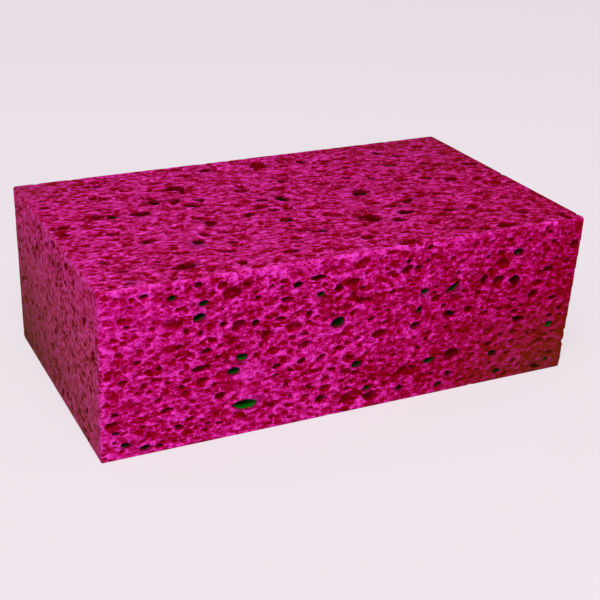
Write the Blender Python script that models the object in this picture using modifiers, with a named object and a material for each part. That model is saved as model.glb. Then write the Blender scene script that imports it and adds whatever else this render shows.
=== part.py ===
"""A washing sponge: one knife-cut block of cellulose foam, open pored on all six sides.

The foam is set around salt crystals, which are washed out afterwards. Each crystal leaves a pore of
its own shape, longest along the block's grain. So the block is a plain cut solid, and every pore that
a cut has laid open is a crystal taken out of it: the ones that show most where they were seen, and
then a sprinkling of coarse and fine ones over all six faces.

Metres, +Z up. The origin is the middle of the base, the length runs along X, and the front is -Y.
"""

import math
import random
from typing import NamedTuple

import bmesh
import bpy
from mathutils import Matrix, Vector

MM = 0.001

# The block
LENGTH = 190 * MM
WIDTH = 112.5 * MM  # across the top
HEIGHT = 65.5 * MM
FRONT_OVERHANG = 5 * MM  # the front was cut a little off square: its top edge stands out this far
EDGE_RADIUS = 1.2 * MM

# The foam
GRAIN_STRETCH = 1.45  # how much longer a pore is along the block than across it
WALL = 0.5 * MM  # the least foam left between two pores
RIM = 1.5 * MM  # what a sprinkled pore leaves whole along the block's edges
UNEVENNESS = 0.2  # how far a crystal's corners stray, as a share of its size
LEAN = 0.2  # how far its lower end lies off its mouth, as a share of its size
TILT = 0.4  # radians a sprinkled pore may lie off the grain
REST_PATCH = 5 * MM  # radius of whole foam at the middle of the base

# The crystals. Each tapers from the mouth to a waist, given as its depth and its width in shares of
# the whole, and from there to a point. A waist of no width is the point itself.
LANDMARK = {"corners": 7, "waist": (0.55, 0.78)}
COARSE = {"corners": 6, "waist": (0.55, 0.78), "widths": (3.2, 5.4), "depth": 0.95, "per_dm2": 25}
FINE = {"corners": 5, "waist": (1, 0), "widths": (1.9, 3.1), "depth": 1.1, "per_dm2": 44}
SQUARE_DM = 0.01
PLACES_TRIED = 4  # for each sprinkled crystal; the one with the most foam round it is taken
PROUD = 0.3 * MM  # how far a crystal stands out of the cut face

# The pores that show best, in millimetres on a block of 190 x 112.5 x 65.5; on a block of another
# size they keep their share of the face. Each is (along, up, length, height, depth, tilt in degrees).
# The front and the top are measured from their left and lower edge as they are seen from the front,
# and the left end from the back edge and the base.
MEASURED = {"front": (190, 65.5), "top": (190, 112.5), "left_end": (112.5, 65.5)}
FRONT_PORES = (
    (53, 12.5, 10, 4.8, 12, -5), (51, 32.2, 4.8, 3.6, 11, -15), (48, 27.2, 5.2, 3.4, 7, 5),
    (36, 30.6, 9, 2.8, 5, 3), (25.2, 59.6, 3.8, 2.6, 6, 15), (36.2, 55.8, 4.2, 2.2, 7, 10),
    (35.3, 50.6, 5.4, 3.2, 6, 15), (8.8, 5.6, 4.6, 2.6, 7, -8), (16.2, 3, 4.8, 2.6, 6, 15),
    (28, 8.2, 5, 3, 5, -25), (24, 16.4, 5.8, 2.4, 4, -5), (15.5, 62, 4.2, 2.6, 4, 15),
    (34.4, 62.8, 3.6, 2.6, 3.5, 0), (49.4, 45, 6.4, 4.4, 4, 30), (65, 44.6, 5, 2.6, 3.5, 0),
    (70.8, 57, 4.2, 2.8, 6, 20), (79.8, 51.6, 3.8, 2.3, 8, 10), (76.2, 44.7, 3.4, 2.6, 5, 60),
    (87.6, 39, 6.2, 4.6, 6, 25), (75.4, 32.3, 6.2, 3.8, 4, 5), (74.2, 25.6, 4.4, 3, 5, 30),
    (82.2, 25.4, 5.4, 2.6, 6, 35), (43.5, 18, 5.4, 3.6, 4, 5), (64.8, 26, 4, 2.5, 5, 10),
    (122.8, 63.2, 3.4, 3, 5, 0), (118.8, 55.6, 3.2, 2.8, 6, -20), (109, 47.4, 3.4, 3, 5, 50),
    (122.4, 45.5, 4.2, 2.8, 6, 0), (121, 38, 3.2, 3, 6, 0), (120, 32, 5, 3.6, 6, 25),
    (134.6, 44.8, 8, 3.2, 6, 32), (148.6, 55.4, 2.9, 2.2, 6, 10), (161.8, 55.4, 5, 3.4, 8, -15),
    (155, 44.6, 6.6, 4.8, 4.5, 0), (171.5, 36, 4.6, 4.4, 6, 0), (134, 33.8, 7, 4, 4, 0),
    (105, 31, 7, 4.2, 3.5, 25), (96.6, 20, 4.6, 3.4, 6, 10), (128, 15.5, 5.6, 3.2, 7, 10),
    (137.2, 15.6, 7.6, 6.2, 6, 0), (156.4, 12.8, 4.8, 2.6, 6, -10), (181.6, 21, 4.2, 2.6, 11, -5),
    (136.8, 7.7, 3.4, 2.9, 7, -30), (132.8, 3.8, 4.2, 2.8, 6, 30), (115.8, 5.6, 3.4, 3, 6, 0),
    (102, 8.7, 3.8, 2.3, 7, 0), (159.4, 4.2, 4, 2.5, 6, 5), (187.2, 54.5, 4, 5, 4, 0),
)
TOP_PORES = (
    (57.8, 67.4, 7, 5, 8, 25), (52.8, 74.2, 3.8, 4.6, 5, 0), (20, 68, 5, 4.2, 4, 0),
    (26, 65.6, 3.4, 3.4, 6, 0), (36, 65.3, 6.6, 4.6, 4, 15), (57.6, 87.4, 6.6, 4.8, 4, 15),
    (46, 30.8, 3.8, 3.8, 6, 0), (34, 12, 7.6, 4, 4, -5), (77.5, 103.6, 6, 4, 4, 0),
    (90.8, 25, 5, 3, 5, 0), (84.5, 40, 3.8, 3.2, 5, 0), (92, 62, 4, 4.6, 5, 0),
    (124.3, 57, 6.8, 5, 9, 20), (113.5, 30, 7.8, 5.4, 6, 15), (151.5, 83.3, 4.6, 4.4, 8, 35),
    (118.5, 100, 3.2, 3.4, 5, 0), (175.3, 101, 4.2, 3.6, 5, 0), (165.8, 58, 5, 3.6, 4, 0),
    (129.8, 31, 6.4, 3.2, 5, 0), (147, 27, 4.6, 3.4, 5, 20), (136, 42, 5.6, 2.8, 4, 15),
    (123, 24.4, 5, 3.6, 4, 10), (103.8, 13, 4.6, 3, 5, 10), (158, 5, 6, 3.4, 4, 10),
)
LEFT_END_PORES = (
    (9, 31.5, 3.6, 3, 5, 0), (34, 52.5, 4.4, 3.2, 5, 15), (21, 10, 4, 3, 6, 15),
    (103.4, 39.5, 3.4, 3.2, 5, 0), (54, 26, 3.2, 2.8, 4, 0), (70, 37, 3.8, 2.8, 4, 15),
    (36, 16, 3.6, 3.4, 4, 0), (86, 22.5, 3.6, 3.2, 4, 0),
)

MAGENTA = (0.62, 0.012, 0.27, 1.0)
FOAM_ROUGHNESS = 0.9


class Face(NamedTuple):
    """One cut face as it is seen from outside: its middle, its two directions and its half sizes."""

    centre: Vector
    along: Vector
    up: Vector
    half_along: float
    half_up: float

    @property
    def normal(self):
        return self.along.cross(self.up)

    def at(self, share_along, share_up):
        """The point at those shares of the way from the left and the lower edge."""
        return (
            self.centre
            + self.along * self.half_along * (2 * share_along - 1)
            + self.up * self.half_up * (2 * share_up - 1)
        )


class Pore(NamedTuple):
    """One crystal: the middle of its mouth, its axes as columns, and how far it reaches on each."""

    mouth: Vector
    axes: Matrix
    half_length: float
    half_height: float
    depth: float
    shape: dict

    @property
    def middle(self):
        return self.mouth - self.axes.col[2] * self.depth / 2

    def reach(self, direction):
        """How far it reaches from its middle in a direction, taken as an ellipsoid."""
        halves = (self.half_length, self.half_height, self.depth / 2)
        parts = [axis.dot(direction) * half for axis, half in zip(self.axes.col, halves)]
        return Vector(parts).length * (1 + UNEVENNESS / 2)


def cut_faces():
    x, y, z = Vector((1, 0, 0)), Vector((0, 1, 0)), Vector((0, 0, 1))
    half_length, half_width, half_height = LENGTH / 2, WIDTH / 2, HEIGHT / 2
    slope = Vector((0, -FRONT_OVERHANG, HEIGHT))
    front_middle = Vector((0, FRONT_OVERHANG / 2 - half_width, half_height))
    base_middle = Vector((0, FRONT_OVERHANG / 2, 0))
    half_base = half_width - FRONT_OVERHANG / 2
    return {
        "front": Face(front_middle, x, slope.normalized(), half_length, slope.length / 2),
        "back": Face(y * half_width + z * half_height, -x, z, half_length, half_height),
        "left_end": Face(z * half_height - x * half_length, -y, z, half_width, half_height),
        "right_end": Face(z * half_height + x * half_length, y, z, half_width, half_height),
        "top": Face(z * HEIGHT, x, y, half_length, half_width),
        "base": Face(base_middle, x, -y, half_length, half_base),
    }


def turned_axes(face, angle):
    """The face's own axes with the first two turned in the face."""
    turn = Matrix.Rotation(angle, 3, face.normal)
    return Matrix((turn @ face.along, turn @ face.up, face.normal)).transposed()


def landmark(face, measured, row):
    along, up, length, height, depth, tilt = row
    mouth = face.at(along / measured[0], up / measured[1])
    axes = turned_axes(face, math.radians(tilt))
    return Pore(mouth, axes, length * MM / 2, height * MM / 2, depth * MM, LANDMARK)


def sprinkled(face, kind, dice):
    """A crystal at a chance place on the face, stretched along the grain and clear of the edges."""
    axes = turned_axes(face, dice.uniform(-TILT, TILT))
    width = dice.uniform(*kind["widths"]) * MM
    stretch = [GRAIN_STRETCH if abs(axis.x) > 0.7 else 1 for axis in axes.col]
    depth = width * kind["depth"] * stretch[2]
    pore = Pore(face.centre, axes, width / 2 * stretch[0], width / 2 * stretch[1], depth, kind)
    room_along = face.half_along - RIM - pore.reach(face.along)
    room_up = face.half_up - RIM - pore.reach(face.up)
    along = face.along * dice.uniform(-room_along, room_along)
    return pore._replace(mouth=face.centre + along + face.up * dice.uniform(-room_up, room_up))


def foam_between(a, b):
    """How thick the foam is from one pore's mouth to the other's, or, round a corner, inside."""
    same_face = a.axes.col[2].dot(b.axes.col[2]) > 0.99
    between = b.mouth - a.mouth if same_face else b.middle - a.middle
    direction = between.normalized()
    return between.length - a.reach(direction) - b.reach(direction)


def all_pores():
    """The landmarks, and then what is sprinkled between them: coarse ones up to the same number a
    square decimetre on every face, landmarks counted, and fine ones last."""
    faces = cut_faces()
    rows = {"front": FRONT_PORES, "top": TOP_PORES, "left_end": LEFT_END_PORES}
    pores = [landmark(faces[name], MEASURED[name], row) for name in rows for row in rows[name]]
    rest_middle = faces["base"].centre
    for kind in (COARSE, FINE):
        for name, face in faces.items():
            dice = random.Random(f"{name} {kind['per_dm2']}")
            count = round(4 * face.half_along * face.half_up / SQUARE_DM * kind["per_dm2"])
            if kind is COARSE:
                count -= len(rows.get(name, ()))
            for _ in range(count):
                tried = []
                for _ in range(PLACES_TRIED):
                    pore = sprinkled(face, kind, dice)
                    foam = min(foam_between(pore, other) for other in pores)
                    on_rest = (pore.mouth - rest_middle).length < REST_PATCH + pore.half_length
                    if foam > WALL and not on_rest:
                        tried.append((foam, pore))
                if tried:
                    pores.append(max(tried, key=lambda pair: pair[0])[1])
    return pores


def add_crystal(bm, pore, dice):
    """A tapered crystal, cut flat just outside the pore's mouth and pointed at the pore's end.

    It is made with a mouth of radius 1 and a depth of 1, and then sized and laid in its place.
    """
    corners = pore.shape["corners"]
    waist_depth, waist = pore.shape["waist"]
    proud = PROUD / pore.depth
    brim = waist + (1 - waist) * (waist_depth + proud) / waist_depth
    verts = bmesh.ops.create_cone(
        bm,
        cap_ends=True,
        segments=corners,
        radius1=waist,
        radius2=brim,
        depth=waist_depth + proud,
    )["verts"]
    bmesh.ops.translate(bm, verts=verts, vec=(0, 0, (proud - waist_depth) / 2))
    if waist:
        floor = next(f for f in verts[0].link_faces if all(v.co.z < 0 for v in f.verts))
        verts += bmesh.ops.poke(bm, faces=[floor], offset=1 - waist_depth)["verts"]

    # Both corners of an edge stray together, and the whole lower end leans, so the sides stay flat.
    strays = [1 + dice.uniform(-UNEVENNESS, UNEVENNESS) for _ in range(corners)]
    lean = Vector((dice.uniform(-LEAN, LEAN), dice.uniform(-LEAN, LEAN), 0))
    turn = Matrix.Rotation(dice.uniform(0, math.tau), 3, "Z")
    for vert in verts:
        column = round(math.atan2(vert.co.y, vert.co.x) / math.tau * corners) % corners
        unit = turn @ Vector((vert.co.x * strays[column], vert.co.y * strays[column], vert.co.z))
        unit -= lean * vert.co.z
        sized = Vector((unit.x * pore.half_length, unit.y * pore.half_height, unit.z * pore.depth))
        vert.co = pore.mouth + pore.axes @ sized


def make_crystals(pores, collection):
    """All the crystals in one cutter."""
    dice = random.Random("crystals")
    bm = bmesh.new()
    for pore in pores:
        add_crystal(bm, pore, dice)
    bmesh.ops.recalc_face_normals(bm, faces=bm.faces)
    mesh = bpy.data.meshes.new("salt_crystals")
    bm.to_mesh(mesh)
    bm.free()
    cutter = bpy.data.objects.new("salt_crystals", mesh)
    collection.objects.link(cutter)
    cutter.hide_render = True
    cutter.display_type = "WIRE"
    return cutter


def clear_scene():
    for obj in list(bpy.data.objects):
        bpy.data.objects.remove(obj, do_unlink=True)


def new_collection(name):
    collection = bpy.data.collections.new(name)
    bpy.context.scene.collection.children.link(collection)
    return collection


def put_in(obj, collection):
    for old in list(obj.users_collection):
        old.objects.unlink(obj)
    collection.objects.link(obj)


def foam_material():
    material = bpy.data.materials.new("cellulose_foam")
    material.use_nodes = True
    shader = material.node_tree.nodes["Principled BSDF"]
    shader.inputs["Base Color"].default_value = MAGENTA
    shader.inputs["Roughness"].default_value = FOAM_ROUGHNESS
    shader.inputs["Metallic"].default_value = 0.0
    return material


def make_block(collection):
    """The block as it was cut, before its pores: a box whose front leans out at the top."""
    bpy.ops.mesh.primitive_cube_add(size=1, location=(0, 0, HEIGHT / 2))
    block = bpy.context.object
    block.name = block.data.name = "sponge_block"
    block.scale = (LENGTH, WIDTH, HEIGHT)
    bpy.ops.object.transform_apply(location=True, rotation=False, scale=True)
    for vert in block.data.vertices:
        if vert.co.y < 0 and vert.co.z < HEIGHT / 2:
            vert.co.y += FRONT_OVERHANG
    put_in(block, collection)
    rounding = block.modifiers.new("knife_edge", "BEVEL")
    rounding.width = EDGE_RADIUS
    rounding.segments = 2
    rounding.limit_method = "NONE"
    return block


def main():
    clear_scene()
    sponge = new_collection("washing_sponge")
    cutters = new_collection("cutters")
    block = make_block(sponge)
    block.data.materials.append(foam_material())
    washed_out = block.modifiers.new("washed_out_pores", "BOOLEAN")
    washed_out.operation = "DIFFERENCE"
    washed_out.solver = "EXACT"
    washed_out.use_self = True
    washed_out.object = make_crystals(all_pores(), cutters)


main()
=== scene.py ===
# %% [markdown]
# # A washing sponge of cellulose foam
#
# A washing sponge is a block that a knife cut from a much bigger loaf of cellulose foam. The foam
# was set around salt crystals, and the salt was washed out, so the block is open on all six sides:
# pores as wide as a fingertip, pores as fine as a pin, and thin bright walls between them.
#
# The solid from the CAD step has the block and the 570 or so pores that show best. This lesson keeps
# that solid and takes it further: thousands of finer pores, worn walls, and the colours of wet-dyed
# foam, bright on the walls and dark red down in the pores.

# %% Load the solid
import math

import bpy
import numpy as np
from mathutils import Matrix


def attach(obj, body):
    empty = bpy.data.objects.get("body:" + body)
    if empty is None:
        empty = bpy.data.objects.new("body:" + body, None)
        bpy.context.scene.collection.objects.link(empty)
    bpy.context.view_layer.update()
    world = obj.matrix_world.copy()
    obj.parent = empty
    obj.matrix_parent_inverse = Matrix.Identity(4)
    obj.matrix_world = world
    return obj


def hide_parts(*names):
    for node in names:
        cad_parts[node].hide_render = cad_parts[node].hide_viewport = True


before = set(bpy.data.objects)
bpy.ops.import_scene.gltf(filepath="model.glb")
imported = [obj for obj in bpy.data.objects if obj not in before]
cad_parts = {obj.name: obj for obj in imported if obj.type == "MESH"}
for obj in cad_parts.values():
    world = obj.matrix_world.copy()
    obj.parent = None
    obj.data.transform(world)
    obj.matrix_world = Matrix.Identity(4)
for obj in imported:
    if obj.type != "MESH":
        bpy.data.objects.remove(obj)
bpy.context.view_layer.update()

import openvdb

MM = 0.001

# %% [markdown]
# ## From a solid to a field
#
# Thousands of holes could be cut out one Boolean at a time, but that is slow, and it leaves razor
# edges that foam never has. A field does it better. It is a grid of points, half a millimetre
# apart, and each point holds how far it is from the surface: less than nothing inside the foam,
# more than nothing outside. Two shapes are joined or cut by taking the smaller or the larger of
# their two distances, and a little blurring wears every edge at once.
#
# OpenVDB comes with Blender and measures the distances. numpy then does the sums on the grid.

# %% The solid's triangles
block = bpy.data.objects["sponge_block"]


def corners_and_triangles(obj):
    """An object's corners, in metres in the scene's frame, and its triangles."""
    mesh = obj.evaluated_get(bpy.context.evaluated_depsgraph_get()).to_mesh()
    mesh.calc_loop_triangles()
    corners = np.empty(len(mesh.vertices) * 3, np.float32)
    mesh.vertices.foreach_get("co", corners)
    triangles = np.empty(len(mesh.loop_triangles) * 3, np.int32)
    mesh.loop_triangles.foreach_get("vertices", triangles)
    matrix = np.array(obj.matrix_world, np.float32)
    corners = corners.reshape(-1, 3) @ matrix[:3, :3].T + matrix[:3, 3]
    return corners.astype(np.float32), triangles.reshape(-1, 3).astype(np.uint32)


corners, triangles = corners_and_triangles(block)
lowest, highest = corners.min(axis=0), corners.max(axis=0)
print("the solid has", len(triangles), "triangles")

# %% The field
VOXEL = 0.5 * MM
BAND = 6  # grid steps either side of the surface in which the distance is kept
MARGIN = 6  # grid steps of air all round

level_set = openvdb.FloatGrid.createLevelSetFromPolygons(
    corners,
    triangles=triangles,
    transform=openvdb.createLinearTransform(voxelSize=VOXEL),
    halfWidth=BAND,
)
first = np.floor(lowest / VOXEL).astype(int) - MARGIN
last = np.ceil(highest / VOXEL).astype(int) + MARGIN
first_index = tuple(int(i) for i in first)
field = np.empty(last - first + 1, np.float32)
level_set.copyToArray(field, ijk=first_index)
print("the field has", field.shape, "points")

# %% [markdown]
# ## The knife's six cuts
#
# The loaf is sliced with a knife, so what is left of the walls between the pores ends in one flat
# plane on each side, and the planes meet in crisp edges. The front was cut a little off square, and
# its top edge stands out. The solid has those edges rounded by a millimetre or so, which is kind to
# a hand but softer than what the photo shows. So the pores are lifted out of the field by
# themselves here: where the distance is the same as a plain rounded block's, there is no pore.
# The worn pores are put back into six flat cuts further down.

# %% Depth below the cuts
FRONT_OVERHANG = 5 * MM
HALF_LENGTH, HALF_WIDTH, HEIGHT = (float(c) for c in highest)
front_slope = math.hypot(FRONT_OVERHANG, HEIGHT)


def depth_below_cuts(x, y, z):
    """How far a point lies inside each of the six cuts: right, left, back, front, base and top."""
    front = ((y + HALF_WIDTH) * HEIGHT - (HEIGHT - z) * FRONT_OVERHANG) / front_slope
    return [HALF_LENGTH - x, HALF_LENGTH + x, HALF_WIDTH - y, front, z, HEIGHT - z]


def least(arrays):
    """The smallest of several arrays, point by point."""
    smallest = arrays[0]
    for array in arrays[1:]:
        smallest = np.minimum(smallest, array)
    return smallest


x, y, z = (
    ((np.arange(count) + start) * VOXEL).astype(np.float32).reshape(shape)
    for count, start, shape in zip(field.shape, first, ((-1, 1, 1), (1, -1, 1), (1, 1, -1)))
)
depths = depth_below_cuts(x, y, z)
depth = least(depths)
print("the middle of the block is", round(float(depth.max()) / MM, 1), "mm below a cut")

# %% The pores by themselves
ROUNDED = 1.2 * MM  # the radius of the solid's edges
SAME = 0.2 * MM  # a point this near to the plain block's distance is on the block, not in a pore
CLOSED = 0.8 * MM  # how far the field is pushed in there, so that it stays closed

corner = np.sqrt(sum(np.maximum(ROUNDED - below, 0) ** 2 for below in depths))
plain_block = corner + np.minimum(ROUNDED - depth, 0) - ROUNDED
pores = field - CLOSED * (1 - np.clip((field - plain_block) / SAME, 0, 1))
LITRES = (VOXEL * 10) ** 3  # what one point of the grid stands for
print("the pores take", round(float(((pores > 0) & (depth > 0)).sum()) * LITRES, 3), "litres")

# %% [markdown]
# ## Worn walls
#
# Two tools work on the whole grid. The blur is a bell curve, run along each direction in turn,
# which gives the same result as a ball-shaped blur for far less work. The noise is a coarse grid of
# chance numbers with smooth steps between them. Foam is drawn out along the loaf as it sets, so
# every lump is longer along the block than across it: that stretch is the grain. Both work on the
# pores alone, and the six cuts trim them afterwards, so the faces stay as flat as they were cut.

# %% Blur
def blur(array, radius):
    """The array smoothed with a bell curve of that radius, one direction after the other."""
    width = radius / VOXEL
    reach = math.ceil(width * 2.5)
    weights = np.exp(-0.5 * (np.arange(-reach, reach + 1) / width) ** 2)
    weights = (weights / weights.sum()).astype(np.float32)
    for axis in range(3):
        count = array.shape[axis]
        padding = [(reach, reach) if i == axis else (0, 0) for i in range(3)]
        wide = np.moveaxis(np.pad(array, padding, mode="edge"), axis, 0)
        array = sum(weight * wide[i : i + count] for i, weight in enumerate(weights))
        array = np.moveaxis(array, 0, axis)
    return np.ascontiguousarray(array)


WEAR = 0.3 * MM  # radius of the blur that takes the edge off every wall
worn_pores = blur(pores, WEAR)
print("the blur moved the surface by up to", round(float(abs(worn_pores - pores).max()) / MM, 2), "mm")

# %% Noise
GRAIN = 1.6  # how much longer a pore or a lump is along the block than across it
dice = np.random.default_rng(7)


def noise(size):
    """Noise of about that size, stretched along the grain, with a spread of 1 round nothing."""
    steps = (size * GRAIN, size, size)
    counts = [int(n * VOXEL / step) + 4 for n, step in zip(field.shape, steps)]
    values = dice.standard_normal(counts, np.float32)
    for axis, step in enumerate(steps):
        at = np.arange(field.shape[axis]) * VOXEL / step + dice.random()
        whole = at.astype(int)
        share = (at - whole).astype(np.float32)
        share = share * share * (3 - 2 * share)
        share = share.reshape([-1 if i == axis else 1 for i in range(3)])
        before, after = np.take(values, whole, axis), np.take(values, whole + 1, axis)
        values = before * (1 - share) + after * share
    return values / values.std()


lumps = noise(2.4 * MM)
rough = noise(1.1 * MM)
print("lumps and roughness are made, with a spread of", round(float(rough.std()), 2))

# %% The worn foam
OPENED, LUMPY, ROUGH = 0.05, 0.14, 0.13  # how far each moves a pore's walls, in mm
foam = np.maximum(worn_pores + MM * (OPENED + LUMPY * lumps + ROUGH * rough), -depth)
print("the worn foam fills", round(float((foam < 0).sum()) * LITRES, 3), "litres")

# %% [markdown]
# ## Small pores in their own places
#
# The solid has the pores that catch the eye first. On a second look the photo shows many more that
# are small but dark, and that give each face its own pattern. They are too small to be worth a
# place in the solid, so they are listed here, as they would be pricked into a real block:
# how far along the face, how far up it, how long and how high.

# %% The six faces
from mathutils import Matrix, Vector, noise as smooth_noise

along_x, along_y, along_z = Vector((1, 0, 0)), Vector((0, 1, 0)), Vector((0, 0, 1))
up_front = Vector((0, -FRONT_OVERHANG, HEIGHT))
half_base = HALF_WIDTH - FRONT_OVERHANG / 2
middle = HEIGHT / 2
# Each face is its middle, the directions along it and up it, and half of its length and height.
FACES = {
    "front": ((0, -half_base, middle), along_x, up_front.normalized(), HALF_LENGTH, up_front.length / 2),
    "back": ((0, HALF_WIDTH, middle), -along_x, along_z, HALF_LENGTH, middle),
    "left end": ((-HALF_LENGTH, 0, middle), -along_y, along_z, HALF_WIDTH, middle),
    "right end": ((HALF_LENGTH, 0, middle), along_y, along_z, HALF_WIDTH, middle),
    "top": ((0, 0, HEIGHT), along_x, along_y, HALF_LENGTH, HALF_WIDTH),
    "base": ((0, FRONT_OVERHANG / 2, 0), along_x, -along_y, HALF_LENGTH, half_base),
}
print("the front is", round(2 * FACES["front"][4] / MM, 2), "mm high along its slope")

# %% The solid's pores that show
# The solid's own pores that show as dark, with painted shade in them: (along, up, length, height)
# in mm, and how green each is.
DEEP_PORES = {
    "front": (
        (53.6, 12.4, 11, 5.2, 1), (51, 32.2, 5.8, 4.6, 1), (181.6, 21, 5.2, 3.6, 1),
        (48, 27.2, 6, 4.4, 0.5), (36.2, 55.8, 5, 3, 0.5), (35.3, 50.6, 6, 4, 0.35),
        (79.8, 51.6, 4.8, 3, 0.6), (25.2, 59.6, 4.6, 3.2, 0.45), (8.8, 5.6, 5.6, 3.4, 0.5),
        (16.2, 3, 5.6, 3, 0.3), (87.6, 39, 6.8, 5, 0.3), (96.6, 20, 5.6, 4, 0.4),
        (122.4, 45.5, 5.2, 3.4, 0.4), (121, 38, 4, 3.8, 0.35), (134.6, 44.8, 8.6, 3.8, 0.35),
        (161.8, 55.4, 5.6, 4, 0.4), (128, 15.5, 6.2, 3.8, 0.45), (156.4, 12.8, 5.6, 3.2, 0.4),
        (102, 8.7, 4.8, 3, 0.4), (115.8, 5.6, 4, 3.4, 0.4), (136.8, 7.7, 4, 3.4, 0.4),
        (132.8, 3.8, 4.8, 3.2, 0.35), (159.4, 4.2, 4.8, 3.2, 0.35), (70.8, 57, 4.8, 3.4, 0.2),
    ),
    "top": (
        (57.8, 67.4, 8.1, 5.7, 0.3), (46, 30.8, 5.1, 5.1, 0.2), (92, 62, 5.1, 5.5, 0.2),
        (124.3, 57, 7.9, 5.9, 0.2), (151.5, 83.3, 5.7, 5.5, 0.35), (90.8, 25, 6.2, 4, 0.2),
        (52.8, 74.2, 4.8, 5.7, 0), (20, 68, 6.2, 5.3, 0), (26, 65.6, 4.4, 4.4, 0.2),
        (36, 65.3, 7.7, 5.5, 0), (57.6, 87.4, 7.7, 5.5, 0), (34, 12, 8.8, 4.8, 0),
        (77.5, 103.6, 7.3, 4.8, 0), (84.5, 40, 4.8, 4.2, 0.2), (113.5, 30, 9, 6.6, 0),
        (118.5, 100, 4.2, 4.4, 0.2), (175.3, 101, 5.3, 4.6, 0.2), (165.8, 58, 6.2, 4.4, 0),
        (129.8, 31, 7.7, 4.2, 0.15), (147, 27, 5.7, 4.4, 0), (136, 42, 6.8, 3.5, 0),
        (123, 24.4, 6.2, 4.6, 0), (103.8, 13, 5.7, 4, 0), (158, 5, 7.3, 4.4, 0),
    ),
    "left end": (
        (9, 31.5, 4.2, 3.6, 0.3), (34, 52.5, 5, 3.6, 0.15), (21, 10, 4.6, 3.4, 0.3),
        (103.4, 39.5, 4, 3.8, 0.4), (54, 26, 3.8, 3.4, 0.2), (70, 37, 4.4, 3.2, 0),
        (36, 16, 4.2, 4, 0), (86, 22.5, 4.2, 3.8, 0),
    ),
}
print(sum(len(pores) for pores in DEEP_PORES.values()), "of the solid's pores show as dark")

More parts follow.
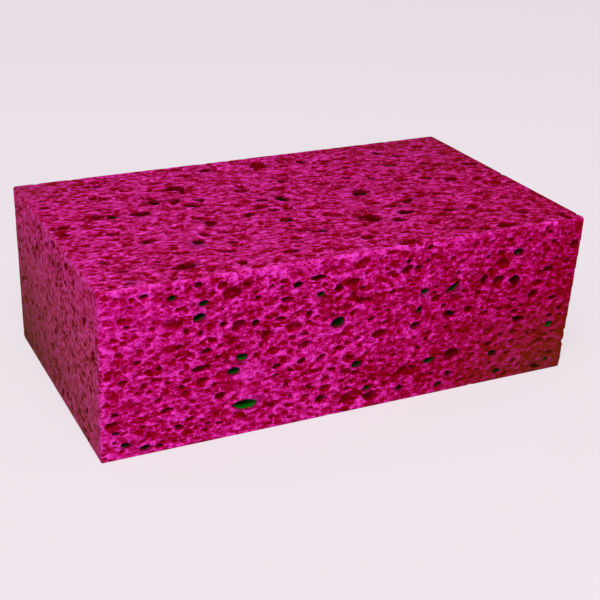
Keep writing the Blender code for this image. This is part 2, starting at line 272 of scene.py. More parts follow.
# %% Small pores that show
# Each is (along, up, length, height) in mm from the face's left and lower edge, and how green it is.
# A long list is the honest way here: no rule says where the salt lay.
SMALL_PORES = {
    "front": (
        (20.8, 33.8, 2.5, 2, 0), (35.5, 44.3, 2, 2, 0), (29, 24.8, 2, 2, 0), (13, 37.5, 2.5, 1.5, 0),
        (44, 46.5, 3, 2, 0), (56.3, 54.5, 2, 1.8, 0), (65, 57, 1.6, 1.5, 0), (74.5, 37, 4, 1.3, 0),
        (42.2, 34, 2.5, 1.5, 0), (37.5, 37.2, 4, 2, 0), (64.2, 22, 2, 1.4, 0), (70, 23, 3, 1.3, 0),
        (5, 18.3, 3.5, 1.8, 0), (4, 15, 5, 2.5, 0), (5.5, 11.2, 3.5, 2, 0.2), (5, 7.3, 2, 1.4, 0),
        (21, 2.2, 3, 1.5, 0.2), (53, 7.2, 2, 1.3, 0), (43, 7, 2.5, 1.5, 0), (78.5, 13.8, 2.5, 1.4, 0),
        (68.5, 17, 3, 2, 0), (83, 8, 4, 4, 0), (79, 58.5, 6, 2.5, 0), (87, 53, 4, 3, 0),
        (67, 52, 4, 2.5, 0), (55.5, 45, 3.5, 3.5, 0), (122.7, 57.8, 2, 2, 0), (114.6, 59, 3, 2, 0),
        (136.3, 50.8, 2, 1.5, 0), (129, 49, 1.6, 1.4, 0), (127, 44.4, 1.8, 1.4, 0),
        (142.5, 34.5, 3, 2.5, 0), (135.8, 33, 2, 1.5, 0.2), (107, 35.6, 2.5, 1.4, 0),
        (131.5, 38.3, 2, 2, 0), (162.6, 34.8, 2.5, 1.2, 0), (156.7, 32.2, 2.5, 1.4, 0),
        (187.6, 41.5, 2, 2, 0), (96, 31, 3, 1.5, 0), (125.2, 25.2, 2.2, 1.4, 0),
        (122.4, 21.8, 2.4, 1.6, 0), (185.2, 27.5, 3, 2, 0), (186, 24.5, 2, 1.4, 0),
        (180.8, 25, 3, 2, 0.2), (159, 20.5, 2.5, 1.5, 0), (153.6, 17.1, 2.5, 2, 0),
        (171.5, 18.9, 2, 1.4, 0), (177.8, 17.3, 2.5, 1.4, 0), (183.5, 17.3, 2.2, 1.6, 0),
        (138.2, 16.4, 3, 2.5, 0.2), (155.8, 8.4, 2.5, 1.4, 0), (163.5, 2, 2.5, 1.4, 0),
        (178.7, 2.2, 4.5, 1.6, 0.2), (182.5, 4.8, 3, 2.5, 0.5), (173.3, 63.4, 1.6, 1.6, 0),
        (175, 61.8, 2.5, 1.5, 0), (173.6, 51.6, 2, 1.4, 0), (162, 43, 5, 5, 0), (148, 46, 3, 5, 0),
        (166.5, 26, 5, 4, 0), (177, 46, 4.5, 3, 0), (103.5, 5, 5.5, 4.5, 0), (181, 33, 4, 2.5, 0),
    ),
    "top": (
        (30, 100.5, 4.6, 3.4, 0), (100, 102, 8, 6.9, 0), (128, 97.5, 4.6, 4.6, 0),
        (135.5, 98, 5.8, 3.4, 0), (154, 99, 4, 5.2, 0), (160, 93, 4, 3.4, 0),
        (29, 86, 4, 2.9, 0), (84, 86, 3.4, 3.4, 0), (104.5, 87, 4.6, 2.9, 0),
        (132, 86.5, 5.2, 2.9, 0), (82.5, 80, 4, 4, 0), (101, 80, 4.6, 2.9, 0),
        (62, 72, 5.2, 2.9, 0), (45, 75, 4.6, 5.8, 0), (84, 62.5, 5.2, 3.4, 0),
        (115, 71, 5.8, 4, 0), (81.5, 56.5, 4.6, 4, 0), (84, 51, 4.6, 3.4, 0),
        (90, 51, 4, 3.4, 0), (74, 50, 3.4, 2.9, 0), (54, 53.5, 3.4, 2.9, 0),
        (57, 47, 4.6, 4, 0), (94.5, 39, 2.3, 4, 0), (64.5, 41.5, 2.9, 2.1, 0),
        (57.5, 37, 4, 3.4, 0), (51, 37, 2.9, 5.2, 0), (57, 26, 4, 2.9, 0),
        (10, 25.5, 2.9, 4, 0), (27, 19, 2.3, 2.3, 0), (52.5, 19, 5.8, 2.9, 0),
        (78, 18.5, 4.6, 2.3, 0), (13.5, 15.5, 4.6, 2.3, 0), (12, 5, 4.6, 2.9, 0),
        (27, 3.7, 2.9, 2.9, 0), (53, 7, 3.4, 3.4, 0), (4.2, 54.5, 4.6, 3.4, 0),
        (4.2, 61, 4.6, 2.9, 0), (5, 84, 4.6, 2.9, 0), (73, 11, 6.9, 2.9, 0),
        (86, 28.5, 5.8, 4, 0), (128, 39, 4.6, 4, 0), (133.5, 17, 5.2, 3.4, 0),
        (142, 18.5, 4, 2.3, 0), (141, 8.5, 5.8, 3.4, 0), (148.5, 5, 4, 5.2, 0),
        (184, 4.8, 4, 6.9, 0), (171.5, 14, 4, 5.2, 0), (115, 3, 8, 3.4, 0),
        (118.5, 12.5, 3.4, 1.7, 0), (160, 20, 3.4, 2.9, 0), (157, 62.5, 5.2, 4, 0),
        (156, 42.5, 4, 2.3, 0), (148, 41, 3.4, 2.3, 0), (157, 71.5, 4.6, 2.9, 0),
        (184, 72, 6.9, 4, 0), (166.5, 80, 4.6, 2.9, 0), (182, 88.5, 4.6, 2.9, 0),
        (187, 45.5, 3.4, 2.9, 0), (181, 34, 3.4, 2.9, 0), (136, 70, 2.9, 4.6, 0),
        (148, 74, 1.7, 2.9, 0),
    ),
    "left end": (
        (48, 58.5, 4, 2.5, 0), (91, 35.5, 2.5, 2, 0.3), (48.5, 17.5, 4.5, 2.5, 0.2),
        (59.5, 3.5, 4, 3.5, 0.3), (66, 7, 4, 2.5, 0), (98, 23.5, 3.5, 3.5, 0),
        (91.5, 26.5, 3.5, 2, 0), (79, 40, 3, 2, 0), (66, 31.5, 3, 1.5, 0),
        (72.5, 53, 4, 2, 0), (74, 60, 4, 2.5, 0), (79.5, 59.5, 2.5, 2.5, 0),
        (58, 62.5, 5, 2.5, 0), (28, 47, 6, 2, 0.2), (18, 45, 4.5, 2.5, 0), (53, 10, 4, 2, 0.2),
        (19, 24, 4.5, 2.5, 0.2), (82, 47, 4.5, 2.5, 0), (94, 48, 3.5, 2.5, 0), (60, 48, 3, 2, 0),
    ),
}
print(sum(len(pores) for pores in SMALL_PORES.values()), "small pores have their own places")

# %% Filing pores
BIN = 6 * MM  # pores are filed in bins of this size, so that only near ones are compared
bins = {}
small_and_fine = []  # every pore that is to be taken out: its place, its axes and its reach along them
DEPTH_SHARE = 0.45  # how deep a small pore is, against its length and height together


def squeeze(place):
    """A place with the block squeezed along the grain, so that every pore in it is round."""
    return Vector((place.x / GRAIN, place.y, place.z))


def file_pore(face, place, halfway, radius):
    """Files a pore under its mouth, with a place halfway down it, both squeezed, and its radius."""
    key = tuple(int(c // BIN) for c in squeeze(place))
    bins.setdefault(key, []).append((face, squeeze(place), squeeze(halfway), radius))


for face, rows in SMALL_PORES.items():
    centre, along, up, half_along, half_up = FACES[face]
    if face != "front":  # the faces that are seen at a low angle have the solid's mouths worn wider
        rows = DEEP_PORES[face] + rows
    for from_left, from_foot, length, height, _ in rows:
        place = Vector(centre) + along * (from_left * MM - half_along) + up * (from_foot * MM - half_up)
        normal = along.cross(up)
        to_end = half_along - abs(from_left * MM - half_along)
        to_edge = half_up - abs(from_foot * MM - half_up)
        reach_in = min(DEPTH_SHARE * (length + height) * MM, to_end / 2, to_edge / 2)
        file_pore(face, place, place - normal * reach_in / 2, max(length / GRAIN, height) * MM / 2)
        halves = (length * MM / 2, height * MM / 2, reach_in)
        small_and_fine.append((place, Matrix((along, up, normal)), halves))
deepest = max(halves[2] for _, _, halves in small_and_fine)
print("the small pores reach up to", round(deepest / MM, 1), "mm in")

# %% [markdown]
# ## The finer pores
#
# Between all of these lie thousands more, from five millimetres down to one. Each is a stretched
# ball, cut through by the knife. Its place is thrown like a dart: a dart that lands too near
# another one, or on a pore that is there already, is thrown away. That keeps a wall between any
# two, just as the salt crystals could touch but never share a place. The widest go first, and the
# smaller ones fill what is left. Real foam is patchy too, coarse in one place and fine in the next,
# so a slow, smooth noise says where the two widest kinds may land at all.

# %% Kinds of fine pores
import random

KINDS = (
    # widths in mm, depth against width, how many a square decimetre, where the slow noise is above
    ((3.6, 5.6), 0.45, 40, 0.05),
    ((2.2, 3.6), 0.60, 120, -0.05),
    ((1.4, 2.2), 0.60, 330, -1),
    ((1.0, 1.4), 0.55, 700, -1),
)
PATCH = 12 * MM  # the size of the coarse and the fine patches
LEAST_WALL = 0.15 * MM
EDGE = 1.2 * MM  # what stays whole along the block's edges
CLEAR = 0.3 * MM  # the foam that a pore needs between itself and the solid's own pores
MOST_TURN = 0.5  # radians that a pore may be turned away from the grain
chance = random.Random("fine pores")
print("up to", sum(per_dm2 for _, _, per_dm2, _ in KINDS), "darts are thrown at each square decimetre")


# %% What is near a dart
def neighbours(place):
    """The pores filed in the bins round a squeezed place."""
    i, j, k = (int(c // BIN) for c in place)
    for key in ((i + a, j + b, k + c) for a in (-1, 0, 1) for b in (-1, 0, 1) for c in (-1, 0, 1)):
        yield from bins.get(key, ())


def nearest_value(array, place):
    """The grid's value at the point nearest to a place."""
    i, j, k = (int(round(c / VOXEL)) - int(f) for c, f in zip(place, first))
    return float(array[i, j, k])


def stretched(axis, radius):
    """How far a pore of that radius reaches along an axis: the grain draws it out along x."""
    return radius * (GRAIN if abs(axis.x) > 0.7 else 1)


print("along the block a pore of 2 mm is", round(2 * stretched(along_x, 1), 1), "mm long")


# %% One dart
def throw(face, widths, depth_share, least_noise):
    """One pore at a chance place on a face, or nothing if it can't be there."""
    centre, along, up, half_along, half_up = FACES[face]
    radius = chance.uniform(*widths) * MM / 2
    share_along, share_up = chance.uniform(-1, 1), chance.uniform(-1, 1)
    normal = along.cross(up)
    turn = Matrix.Rotation(chance.uniform(-MOST_TURN, MOST_TURN), 3, normal)
    place = Vector(centre) + along * half_along * share_along + up * half_up * share_up
    if half_along * (1 - abs(share_along)) < radius * GRAIN + EDGE:
        return
    if half_up * (1 - abs(share_up)) < radius + EDGE:
        return
    if smooth_noise.noise(squeeze(place) / PATCH) < least_noise:
        return
    halfway = place - normal * stretched(normal, radius) * depth_share
    probes = [place - normal * (2 * stretched(normal, radius) * depth_share + CLEAR)]
    for axis in (along, up):
        reach = axis * (stretched(axis, radius) + CLEAR)
        probes += [halfway + reach, halfway - reach]
    if any(nearest_value(field, probe) + nearest_value(depth, probe) > SAME for probe in probes):
        return
    for other_face, other, other_halfway, other_radius in neighbours(squeeze(place)):
        apart = squeeze(place) - other if face == other_face else squeeze(halfway) - other_halfway
        if apart.length < radius + other_radius + LEAST_WALL:
            return
    file_pore(face, place, halfway, radius)
    axes = Matrix((turn @ along, turn @ up, normal))
    halves = [stretched(axis, radius) for axis in axes]
    halves[2] *= 2 * depth_share
    return place, axes, halves


print("a dart can land on", len(FACES), "faces")

# %% Throwing the darts
for widths, depth_share, per_dm2, least_noise in KINDS:
    found = len(small_and_fine)
    for face, (_, _, _, half_along, half_up) in FACES.items():
        for _ in range(round(4 * half_along * half_up * 100 * per_dm2)):
            pore = throw(face, widths, depth_share, least_noise)
            if pore:
                small_and_fine.append(pore)
    print(len(small_and_fine) - found, "pores of", widths, "mm found a place")

# %% Taking the pores out
SOFT = 0.12 * MM  # how softly a pore's rim runs into the face
RAGGED, GRITTY = 0.16, 0.10  # how far lumps and roughness move a pore's wall, against its radius


def carve(place, axes, halves):
    """Takes one pore out of the foam, in the box of grid points that it can reach."""
    box = []
    for c in range(3):
        reach = sum(abs(axes[i][c]) * halves[i] for i in range(3)) + 2 * VOXEL
        start = max(int((place[c] - reach) / VOXEL) - int(first[c]), 0)
        stop = min(int((place[c] + reach) / VOXEL) - int(first[c]) + 2, field.shape[c])
        box.append(slice(start, stop))
    box = tuple(box)
    dx, dy, dz = x[box[0]] - place.x, y[:, box[1]] - place.y, z[:, :, box[2]] - place.z
    square = 0
    for axis, half in zip(axes, halves):
        square = square + ((dx * axis[0] + dy * axis[1] + dz * axis[2]) / half) ** 2
    hole = (np.sqrt(square) - 1 + RAGGED * lumps[box] + GRITTY * rough[box]) * min(halves)
    here = foam[box]
    blend = np.maximum(SOFT - np.abs(here + hole), 0) / SOFT
    foam[box] = np.maximum(here, -hole) + blend * blend * SOFT / 4


for pore in small_and_fine:
    carve(*pore)
print("with all its pores the foam fills", round(float((foam < 0).sum()) * LITRES, 3), "litres")

# %% [markdown]
# ## Back to a mesh
#
# OpenVDB draws the surface where the field is nothing. That gives nearly half a million small
# squares, even on the flat parts, so a Decimate modifier thins them: it leaves faces small round a
# pore and lets them grow where the foam is flat. A few crumbs of foam may float free in a pore. A
# real one would fall out with the first rinse, so only the one big piece is kept.

# %% The surface
limit = BAND * VOXEL
grid = openvdb.FloatGrid()
grid.background = limit
grid.transform = openvdb.createLinearTransform(voxelSize=VOXEL)
grid.copyFromArray(np.clip(foam, -limit, limit).astype(np.float32), ijk=first_index, tolerance=0.0)
points, tris, quads = grid.convertToPolygons(isovalue=0.0, adaptivity=0.0)
mesh = bpy.data.meshes.new("sponge")
mesh.from_pydata(points.tolist(), [], quads.tolist() + tris.tolist())
mesh.update()
sponge = bpy.data.objects.new("sponge", mesh)
bpy.context.scene.collection.objects.link(sponge)
print("the surface has", len(quads), "quads and", len(tris), "triangles")

# %% Thinning the mesh
MOST_TRIANGLES = 195_000
thin = sponge.modifiers.new("thin", "DECIMATE")
thin.ratio = MOST_TRIANGLES / (2 * len(quads) + len(tris))
bpy.context.view_layer.objects.active = sponge
bpy.ops.object.modifier_apply(modifier="thin")
mesh = sponge.data
print("thinned to", len(mesh.polygons), "faces")

# %% Dropping the crumbs
import bmesh

bm = bmesh.new()
bm.from_mesh(mesh)
unseen = set(bm.verts)
pieces = []
while unseen:
    start = unseen.pop()
    piece, edge_of_piece = [start], [start]
    while edge_of_piece:
        vert = edge_of_piece.pop()
        for edge in vert.link_edges:
            other = edge.other_vert(vert)
            if other in unseen:
                unseen.remove(other)
                piece.append(other)
                edge_of_piece.append(other)
    pieces.append(piece)
pieces.sort(key=len)
crumbs = [vert for piece in pieces[:-1] for vert in piece]
bmesh.ops.delete(bm, geom=crumbs, context="VERTS")
print("dropped", len(pieces) - 1, "crumbs; the sponge fills", round(bm.calc_volume() * 1000, 3), "litres")
bm.to_mesh(mesh)
bm.free()
mesh.shade_smooth()

# %% [markdown]
# ## What the material has to know
#
# Foam is bright where its walls stand free, because light reaches them from all sides, and dark
# where the foam closes round. A renderer could work that out from light alone, but only with a lot
# of noise. So that light and shade are painted, and the mesh carries them as numbers at its points:
# how much foam lies close round each point, how deep it lies below the cut, how far it belongs to
# the left end and a little to the top, which are seen at a low angle and get a painted sheen and
# shade, or to the lower and far corners, which get an olive painted shade, how near it is to the
# edges that get a painted highlight, and whether it lies in one of the pores that run so deep that
# they get a painted shade of their own.

# %% Reading the field at the mesh's points
points = np.empty(len(mesh.vertices) * 3, np.float32)
mesh.vertices.foreach_get("co", points)
points = points.reshape(-1, 3)


def at_points(array):
    """The grid's value at each point of the mesh, blended between the eight nearest."""
    at = points / VOXEL - first
    base = np.clip(np.floor(at).astype(int), 0, np.array(array.shape) - 2)
    share = at - base
    total = 0
    for corner in np.ndindex(2, 2, 2):
        weight = np.prod(np.where(corner, share, 1 - share), axis=1)
        total = total + weight * array[tuple((base + corner).T)]
    return total


def keep(name, values):
    """Keeps one number for each point of the mesh, for the material to read."""
    attribute = mesh.attributes.new(name, "FLOAT", "POINT")
    attribute.data.foreach_set("value", np.asarray(values, np.float32))
    print(name, "runs", np.percentile(values, [2, 25, 50, 75, 98]).round(2))


# %% Closed in, and deep
solid_share = np.clip(0.5 - foam / VOXEL, 0, 1)
CLOSE_ROUND = 0.7 * MM  # how far round a point the foam counts
# Painted shade: the more foam lies close round a point, the darker its tone, and free walls are lightest.
keep("closed_in", at_points(blur(solid_share, CLOSE_ROUND)))
below = [values / MM for values in depth_below_cuts(*points.T)]
depth_mm = least(below)


def fade(values, start, stop):
    """From 0 at the start to 1 at the stop, and held beyond both."""
    return np.clip((values - start) / (stop - start), 0, 1)


def nearest_cut(number):
    """1 where that cut is the nearest of the six, and 0 where another one is, 1.5 mm apart."""
    others = least([values for i, values in enumerate(below) if i != number])
    return np.clip((others - below[number]) / 1.5 + 0.5, 0, 1)


RIGHT, LEFT, BACK, FRONT, BASE, TOP = range(6)
on_left, on_front, on_top = nearest_cut(LEFT), nearest_cut(FRONT), nearest_cut(TOP)
shade = 0.14 + 0.10 * on_top + 0.03 * on_left
shade = shade * fade(depth_mm, 0.05, 0.7) + 0.08 * fade(depth_mm, 1, 6)
from_right, from_back, up_from_base = below[RIGHT], below[BACK], below[BASE]
shade = shade + 0.2 * fade(from_right, 3, 0) * (on_front + on_top)
keep("shade", shade)

# %% Painted sheen and shade, olive shade and edge highlight
# Painted sheen and shade: the left end, seen at a low angle, is greyer and darker, most of all away from
# its top and front edges, and the top gets a fifth of it.
painted_sheen_shade_left = on_left * (0.55 + 0.45 * fade(below[TOP], 4, 28)) * (0.3 + 0.7 * fade(below[FRONT], 0.5, 5))
keep("painted_sheen_shade", painted_sheen_shade_left + 0.2 * on_top)
# Painted shade: olive is mixed in towards the lower and far corners, where less light comes in.
painted_olive_left = 0.8 * (0.35 + 0.65 * fade(from_back, 100, 10)) * fade(up_from_base, 62, 4)
painted_olive_front = 0.48 * fade(from_right, 60, 0) * fade(up_from_base, 34, 4)
painted_olive_top = 0.15 * fade(from_right, 60, 0) * fade(from_back, 60, 0)
painted_olive_top = painted_olive_top + 0.35 * fade(below[LEFT], 30, 0) * fade(from_back, 30, 0)
keep("painted_olive_shade", on_left * painted_olive_left + on_front * painted_olive_front + on_top * painted_olive_top)
# Painted highlight: the tone is lightened within about 2 mm of the front's top and left edges.
from_edges = np.hypot(below[FRONT], np.minimum(below[LEFT], below[TOP]))
keep("painted_edge_highlight", fade(from_edges, 2.2, 0.2))

# %% The deepest pores
TOO_FAR_IN = 14  # mm below a face where its pores have ended
# Painted shade: the listed pores are marked dark red, and the floors of some olive black to green.
painted_pore_shade, deep, green = (np.zeros(len(points)) for _ in range(3))
for face, rows in DEEP_PORES.items():
    centre, along, up, half_along, half_up = FACES[face]
    from_centre = points - np.array(centre)
    from_left = (from_centre @ np.array(along) + half_along) / MM
    from_foot = (from_centre @ np.array(up) + half_up) / MM
    under = -from_centre @ np.array(along.cross(up)) / MM
    for pore_along, pore_up, length, height, amount in rows + SMALL_PORES[face]:
        round_it = 2 * np.hypot((from_left - pore_along) / length, (from_foot - pore_up) / height)
        in_pore = fade(round_it, 1.12, 1.0) * (under < TOO_FAR_IN)
        if face == "front":
            in_pore = in_pore * fade(round_it, 1.05, 0.8)
        painted_pore_shade = np.maximum(painted_pore_shade, in_pore)
        green = np.maximum(green, fade(round_it, 1.3, 1.2) * amount)
        deep = np.maximum(deep, in_pore * fade(round_it, 1.02, 0.75) * fade(under, 0.3, 1.0))
keep("painted_pore_shade", painted_pore_shade)
keep("deep", deep)
keep("green", green)

# %% [markdown]
# ## The foam's material
#
# Dyed cellulose is matt: it scatters light and mirrors almost none. The colour painted on it isn't
# even, though, because light and shade are painted into it. A wall that stands free takes light from
# both sides and glows pink. Where walls crowd together the foam turns red, and deep in a pore nearly
# black, and that red and black are painted shade. So one number, the tone, says how far a place has
# gone from bright to dark, and a colour ramp turns it into a colour. That is easier to tune than
# many colours mixed by hand: to darken the sponge, shift the tone.
#
# The graph is built with a few small helpers, so that each line below reads like a sum.

# %% Material
material = bpy.data.materials.new("cellulose_foam")
material.use_nodes = True
nodes, links = material.node_tree.nodes, material.node_tree.links
shader = nodes["Principled BSDF"]


def plug(socket, value):
    """Sets a socket, or links another one to it."""
    if isinstance(value, bpy.types.NodeSocket):
        links.new(value, socket)
    else:
        socket.default_value = value


def math_node(operation, *values):
    """A Math node on those values, and its result."""
    node = nodes.new("ShaderNodeMath")
    node.operation = operation
    for socket, value in zip(node.inputs, values):
        plug(socket, value)
    return node.outputs["Value"]


def span(value, low, high, to_low=0.0, to_high=1.0):
    """Maps one range to another, held at both ends."""
    node = nodes.new("ShaderNodeMapRange")
    names = ("Value", "From Min", "From Max", "To Min", "To Max")
    for name, item in zip(names, (value, low, high, to_low, to_high)):
        plug(node.inputs[name], item)
    return node.outputs["Result"]


def point_value(name):
    """What the mesh keeps under that name."""
    node = nodes.new("ShaderNodeAttribute")
    node.attribute_name = name
    return node.outputs["Fac"]


print("a new material starts with", len(nodes), "nodes")

# %% [markdown]
# ## Cells too fine for the mesh
#
# The finest cells of the foam are thinner than any mesh of this size can hold, so they are drawn,
# and the dark inside of each open cell is painted shade.
# A Voronoi texture splits space into cells, and its distance to the edge is small on the walls
# between them and large inside. Three sizes lie over each other, as they do in foam, and chance
# makes some cells open and others nearly closed. Before that, the space is squeezed along the
# grain, so that the cells come out long, and pushed about by noise, so that no wall is straight.

# %% Grain
place_on_block = nodes.new("ShaderNodeTexCoord").outputs["Object"]
along_grain = nodes.new("ShaderNodeVectorMath")
along_grain.operation = "MULTIPLY"
plug(along_grain.inputs[0], place_on_block)
along_grain.inputs[1].default_value = (1 / GRAIN, 1, 1)


def noise_texture(size, detail, output="Fac"):
    """Blender's noise at that size, drawn out along the grain."""
    node = nodes.new("ShaderNodeTexNoise")
    plug(node.inputs["Vector"], along_grain.outputs[0])
    node.inputs["Scale"].default_value = 1 / size
    node.inputs["Detail"].default_value = detail
    return node.outputs[output]


WARP = 0.9 * MM  # how far noise pushes a cell's walls about
warp = nodes.new("ShaderNodeVectorMath")
warp.operation = "MULTIPLY_ADD"
plug(warp.inputs[0], noise_texture(1.6 * MM, 2.0, "Color"))
warp.inputs[1].default_value = (WARP, WARP, WARP)
plug(warp.inputs[2], along_grain.outputs[0])
print("the cells are", GRAIN, "times as long as they are high")


# %% Cells
def cells(size, wall, least_open, most_open):
    """How open the foam is: 0 on a cell's wall, up to 1 inside, and more in some cells than others."""
    edge = nodes.new("ShaderNodeTexVoronoi")
    edge.feature = "DISTANCE_TO_EDGE"
    tint = nodes.new("ShaderNodeTexVoronoi")
    tint.feature = "F1"
    for node in (edge, tint):
        plug(node.inputs["Vector"], warp.outputs[0])
        node.inputs["Scale"].default_value = 1 / size
    chance_of_cell = nodes.new("ShaderNodeSeparateColor")
    plug(chance_of_cell.inputs["Color"], tint.outputs["Color"])
    openness = span(chance_of_cell.outputs["Red"], least_open, most_open)
    return math_node("MULTIPLY", span(edge.outputs["Distance"], wall * 0.3, wall), openness)


# How much painted sheen and shade a place has: most on the left end, a little on the top.
painted_sheen_shade = point_value("painted_sheen_shade")
# Each layer is its cells, and how much painted shade it puts in them on plain foam and on foam
# with painted sheen and shade.
layers = (
    (cells(3.3 * MM, 0.18, 0.4, 0.9), 0.24, 0.34),
    (cells(1.9 * MM, 0.14, 0.0, 0.9), 0.26, 0.16),
    (cells(1.0 * MM, 0.20, 0.0, 0.9), 0.26, 0.04),
)
network = 0.0
for layer, weight, on_sheen_shade in layers:
    darkening = math_node("MULTIPLY", layer, span(painted_sheen_shade, 0.0, 1.0, weight, on_sheen_shade))
    network = math_node("ADD", network, darkening)
patches = span(noise_texture(14 * MM, 1.0), 0.3, 0.7, 0.75, 1.2)
mottle = span(noise_texture(1.5 * MM, 3.0), 0.36, 0.64, -0.15, 0.13)
mottle = math_node("MULTIPLY", mottle, span(painted_sheen_shade, 0.0, 1.0, 1.0, 0.4))
network = math_node("ADD", math_node("MULTIPLY", network, patches), mottle)
print("with its cells the material has", len(nodes), "nodes")

# %% [markdown]
# ## From tone to colour
#
# The tone adds up what the mesh knows and what the cells draw, most of it painted light and shade:
# foam close round a point, cells, depth in a pore, a painted highlight along the edges, and a slow
# painted darkening towards the lower right, where less light comes in.
# Two ramps turn it into colour. The first goes from pink to dark red. The second paints the sheen
# and shade of the left end and a little of the top, which are seen at a low angle: it goes from a
# greyer pink to brown. Each ramp is listed with its bright end first. The olive painted shade of the
# lower and far corners is mixed in on top.

# %% Tone
axis = nodes.new("ShaderNodeSeparateXYZ")
plug(axis.inputs["Vector"], place_on_block)
# Painted shade: the tone darkens slowly towards the lower right, where less light comes in.
to_the_right = span(axis.outputs["X"], -10 * MM, HALF_LENGTH)
to_the_foot = span(axis.outputs["Z"], HEIGHT, 0.0, 0.25, 1.0)
painted_falloff = math_node("MULTIPLY", to_the_right, to_the_foot)
# Painted shade: the tone starts from how much foam lies close round each point.
tone = math_node("ADD", span(point_value("closed_in"), 0.4, 0.8, 0.42, 0.7), network)
# The extras are painted too: the shade kept on the mesh, the edge highlight, the sheen and shade of the
# low-angle faces, and the falloff.
for extra in (
    point_value("shade"),
    math_node("MULTIPLY", point_value("painted_edge_highlight"), -0.05),
    math_node("MULTIPLY", painted_sheen_shade, 0.03),
    math_node("MULTIPLY", painted_falloff, 0.26),
):
    tone = math_node("ADD", tone, extra)
print("with its tone the material has", len(nodes), "nodes")


# %% Colour
def srgb(r, g, b):
    """A colour as a screen shows it, from 0 to 255, as the linear colour that Blender works in."""
    shares = (c / 255 for c in (r, g, b))
    return tuple(s / 12.92 if s <= 0.04045 else ((s + 0.055) / 1.055) ** 2.4 for s in shares) + (1.0,)


PINK_TO_RED_STOPS = (
    (0.36, srgb(252, 66, 208)),
    (0.45, srgb(234, 44, 174)),
    (0.54, srgb(212, 24, 138)),
    (0.63, srgb(192, 8, 104)),
    (0.72, srgb(172, 0, 66)),
    (0.84, srgb(156, 0, 34)),
    (0.98, srgb(136, 0, 10)),
    (1.00, srgb(130, 0, 8)),
)
SHEEN_SHADE_STOPS = (
    (0.38, srgb(240, 88, 176)),
    (0.48, srgb(220, 72, 144)),
    (0.58, srgb(196, 56, 106)),
    (0.68, srgb(170, 40, 72)),
    (0.80, srgb(136, 20, 32)),
    (1.00, srgb(96, 4, 6)),
)


def ramp(stops):
    """The colour that belongs to the tone."""
    node = nodes.new("ShaderNodeValToRGB")
    ends = node.color_ramp.elements
    ends[0].position, ends[0].color = stops[0]
    ends[1].position, ends[1].color = stops[-1]
    for position, colour in stops[1:-1]:
        node.color_ramp.elements.new(position).color = colour
    plug(node.inputs["Fac"], tone)
    return node.outputs["Color"]


def mixed(share, colour_a, colour_b):
    """Colour a, turning into colour b as the share goes from 0 to 1."""
    node = nodes.new("ShaderNodeMix")
    node.data_type = "RGBA"
    plug(node.inputs[0], share)
    plug(node.inputs[6], colour_a)
    plug(node.inputs[7], colour_b)
    return node.outputs[2]


# The second ramp paints the sheen and shade of the faces seen at a low angle.
foam_colour = mixed(painted_sheen_shade, ramp(PINK_TO_RED_STOPS), ramp(SHEEN_SHADE_STOPS))
# The olive painted shade of the lower and far corners.
OLIVE_SHADE = srgb(92, 56, 0)
foam_colour = mixed(point_value("painted_olive_shade"), foam_colour, OLIVE_SHADE)
print("the ramps have", len(PINK_TO_RED_STOPS), "and", len(SHEEN_SHADE_STOPS), "stops")

# %% [markdown]
# ## Painted shade in the deepest pores
#
# The pores that run deepest get more painted shade than the tone alone can give them: dark red, and
# on the floor of a few of them olive black to green. Both colours are mixed in by the numbers that
# the mesh keeps. There is a catch: the mesh's points lie far apart where the foam is flat, and their
# numbers are blended between them, so green could leak out over a pore's rim. Splitting the mesh
# finer would cure that, at the cost of many faces. It is cheaper to ask how deep the place itself
# lies below the nearest of the three cuts that show, which is a plain sum of its coordinates.

# %% Below the three cuts that show
flat_part = (HALF_WIDTH - FRONT_OVERHANG) * HEIGHT / front_slope
below_front = math_node("MULTIPLY_ADD", axis.outputs["Y"], HEIGHT / front_slope, flat_part)
below_front = math_node("MULTIPLY_ADD", axis.outputs["Z"], FRONT_OVERHANG / front_slope, below_front)
below_top = math_node("SUBTRACT", HEIGHT, axis.outputs["Z"])
below_left = math_node("ADD", HALF_LENGTH, axis.outputs["X"])
below_cut = math_node("MINIMUM", math_node("MINIMUM", below_front, below_top), below_left)
print("with the depth below the cuts the material has", len(nodes), "nodes")

# %% Dark red and green
# The colours of the painted shade in the deepest pores.
DARK_RED, OLIVE_BLACK, DEEP_GREEN = srgb(98, 0, 8), srgb(30, 24, 4), srgb(0, 128, 10)
green_value = point_value("green")
pore_colour = mixed(span(point_value("painted_pore_shade"), 0.2, 1.0, 0.0, 0.75), foam_colour, DARK_RED)
in_green = math_node("MULTIPLY", span(point_value("deep"), 0.3, 0.6), span(green_value, 0.0, 0.1))
in_green = math_node("MULTIPLY", in_green, span(below_cut, 0.4 * MM, 1.0 * MM))
green_colour = mixed(span(green_value, 0.2, 1.0), OLIVE_BLACK, DEEP_GREEN)
plug(shader.inputs["Base Color"], mixed(in_green, pore_colour, green_colour))
plug(shader.inputs["Roughness"], 0.9)
plug(shader.inputs["Specular IOR Level"], 0.02)
print("with its colours the material has", len(nodes), "nodes")

# %% [markdown]
# ## Bump
#
# The drawn cells have to catch the light too. Modelling them would take millions of faces, so a
# Bump node tilts the light instead: it reads the cells as a height, low inside and high on the
# walls. It only has to carry what is finer than a millimetre. All that shows in the sponge's
# outline and in its shadows is real mesh.

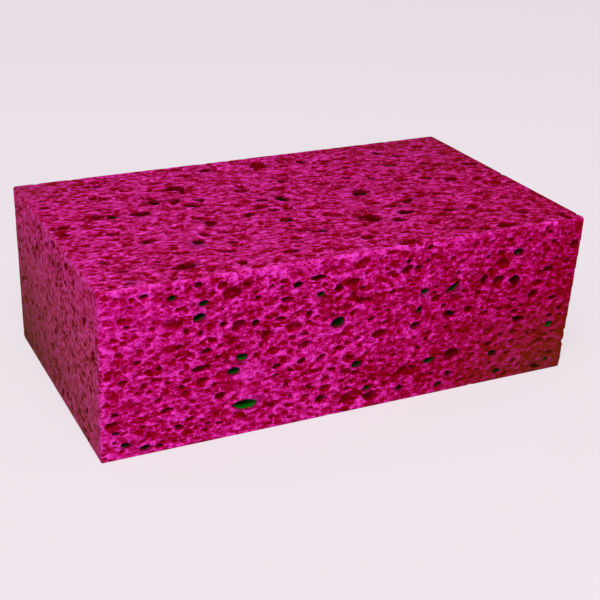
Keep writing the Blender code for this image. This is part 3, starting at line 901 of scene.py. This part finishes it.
# %% Bump
bump = nodes.new("ShaderNodeBump")
bump.inputs["Strength"].default_value = 0.45
bump.inputs["Distance"].default_value = 1.2 * MM
plug(bump.inputs["Height"], math_node("MULTIPLY", network, -1.0))
plug(shader.inputs["Normal"], bump.outputs["Normal"])
mesh.materials.clear()
mesh.materials.append(material)
print("the finished material has", len(nodes), "nodes and", len(links), "links")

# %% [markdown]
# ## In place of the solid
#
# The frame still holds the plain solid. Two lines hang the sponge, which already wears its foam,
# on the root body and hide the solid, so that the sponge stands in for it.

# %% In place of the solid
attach(sponge, "root")
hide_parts("sponge_block")
print("the sponge stands in for the solid with", len(mesh.polygons), "faces")

# %% [markdown]
# ## Floor and light
#
# The sponge lies on pale paper under one broad lamp, up in front and to the left, with a soft grey
# sky that fills the shadows. A broad lamp is kind to foam: a small one would draw a hard black
# shadow in every pore. The paper has to look nearly white without throwing more light on the
# sponge, or its colours would wash out. So the paper glows only for what looks straight at it, or
# sees it in a mirror or through glass, and lies there as plain matt paper for all other light.
# Nearly a third of the plain paper is always left in the mix, and it holds the sponge's shadow.

# %% Floor
bpy.ops.mesh.primitive_plane_add(size=12, location=(0, 0, 0))
floor = bpy.context.object
floor.name = "floor"
paper = bpy.data.materials.new("pale_paper")
paper.use_nodes = True
paper_nodes, paper_links = paper.node_tree.nodes, paper.node_tree.links
matt_paper = paper_nodes["Principled BSDF"]
matt_paper.inputs["Base Color"].default_value = (0.84, 0.78, 0.82, 1)
matt_paper.inputs["Roughness"].default_value = 0.9
GLOWING = 0.7  # the share of the glow in what a straight look sees
glow = paper_nodes.new("ShaderNodeEmission")
glow.inputs["Color"].default_value = (0.93, 0.86, 0.915, 1)
print("the floor is", round(floor.dimensions.x, 1), "m wide")

# %% What sees the paper glow
seen_by = paper_nodes.new("ShaderNodeLightPath")


def paper_math(operation, *values):
    """A Math node in the paper's material, held between 0 and 1."""
    node = paper_nodes.new("ShaderNodeMath")
    node.operation = operation
    node.use_clamp = True
    for socket, value in zip(node.inputs, values):
        if isinstance(value, bpy.types.NodeSocket):
            paper_links.new(value, socket)
        else:
            socket.default_value = value
    return node.outputs["Value"]


mirrored = paper_math("ADD", seen_by.outputs["Is Glossy Ray"], seen_by.outputs["Is Transmission Ray"])
looked_at = paper_math("ADD", seen_by.outputs["Is Camera Ray"], mirrored)
glow_share = paper_math("MULTIPLY", looked_at, GLOWING)
both = paper_nodes.new("ShaderNodeMixShader")
paper_links.new(glow_share, both.inputs["Fac"])
paper_links.new(matt_paper.outputs["BSDF"], both.inputs[1])
paper_links.new(glow.outputs["Emission"], both.inputs[2])
paper_links.new(both.outputs["Shader"], paper_nodes["Material Output"].inputs["Surface"])
floor.data.materials.append(paper)
print("the paper's material has", len(paper_nodes), "nodes")

# %% Sky and lamp
world = bpy.data.worlds.new("studio")
bpy.context.scene.world = world
world.use_nodes = True
background = world.node_tree.nodes["Background"]
background.inputs["Color"].default_value = (0.9, 0.88, 0.9, 1)
background.inputs["Strength"].default_value = 0.36

LAMP_AT, LAMP_AIMS_AT = Vector((-0.38, -0.80, 1.20)), Vector((0, 0, 0.03))
lamp_data = bpy.data.lights.new("key", "AREA")
lamp_data.energy = 15.2
lamp_data.shape = "DISK"
lamp_data.size = 1.0
lamp = bpy.data.objects.new("key", lamp_data)
lamp.location = LAMP_AT
lamp_aim = LAMP_AIMS_AT - LAMP_AT
lamp.rotation_euler = lamp_aim.to_track_quat("-Z", "Y").to_euler()
bpy.context.scene.collection.objects.link(lamp)
print("the lamp hangs", round(lamp_aim.length, 2), "m away")

# %% [markdown]
# ## Camera
#
# The camera was fitted to the seven corners of the block that the photo shows. It looks from in
# front and a little to the left, 24 degrees down, with the slightest roll, from half a metre away.

# %% Camera
AZIMUTH, ELEVATION, ROLL = (math.radians(a) for a in (-25.852, 24.232, 1.480))
CAMERA_AT = (-0.19467, -0.40921, 0.22804)
LENS = 75.05  # mm, for a sensor that is 36 mm wide
level = math.cos(ELEVATION)
towards_camera = Vector((math.sin(AZIMUTH) * level, -math.cos(AZIMUTH) * level, math.sin(ELEVATION)))
level_right = along_z.cross(towards_camera).normalized()
level_up = towards_camera.cross(level_right)
camera_right = level_right * math.cos(ROLL) + level_up * math.sin(ROLL)
camera_up = level_up * math.cos(ROLL) - level_right * math.sin(ROLL)
camera_data = bpy.data.cameras.new("camera")
camera_data.lens = LENS
camera_data.sensor_width = 36
camera = bpy.data.objects.new("camera", camera_data)
camera.rotation_mode = "QUATERNION"
turned = Matrix((camera_right, camera_up, towards_camera)).transposed()
camera.rotation_quaternion = turned.to_quaternion()
camera.location = CAMERA_AT
bpy.context.scene.collection.objects.link(camera)
bpy.context.scene.camera = camera
bpy.context.scene.view_settings.view_transform = "Standard"
print("the camera is", round(camera.location.length, 2), "m from the middle of the base")
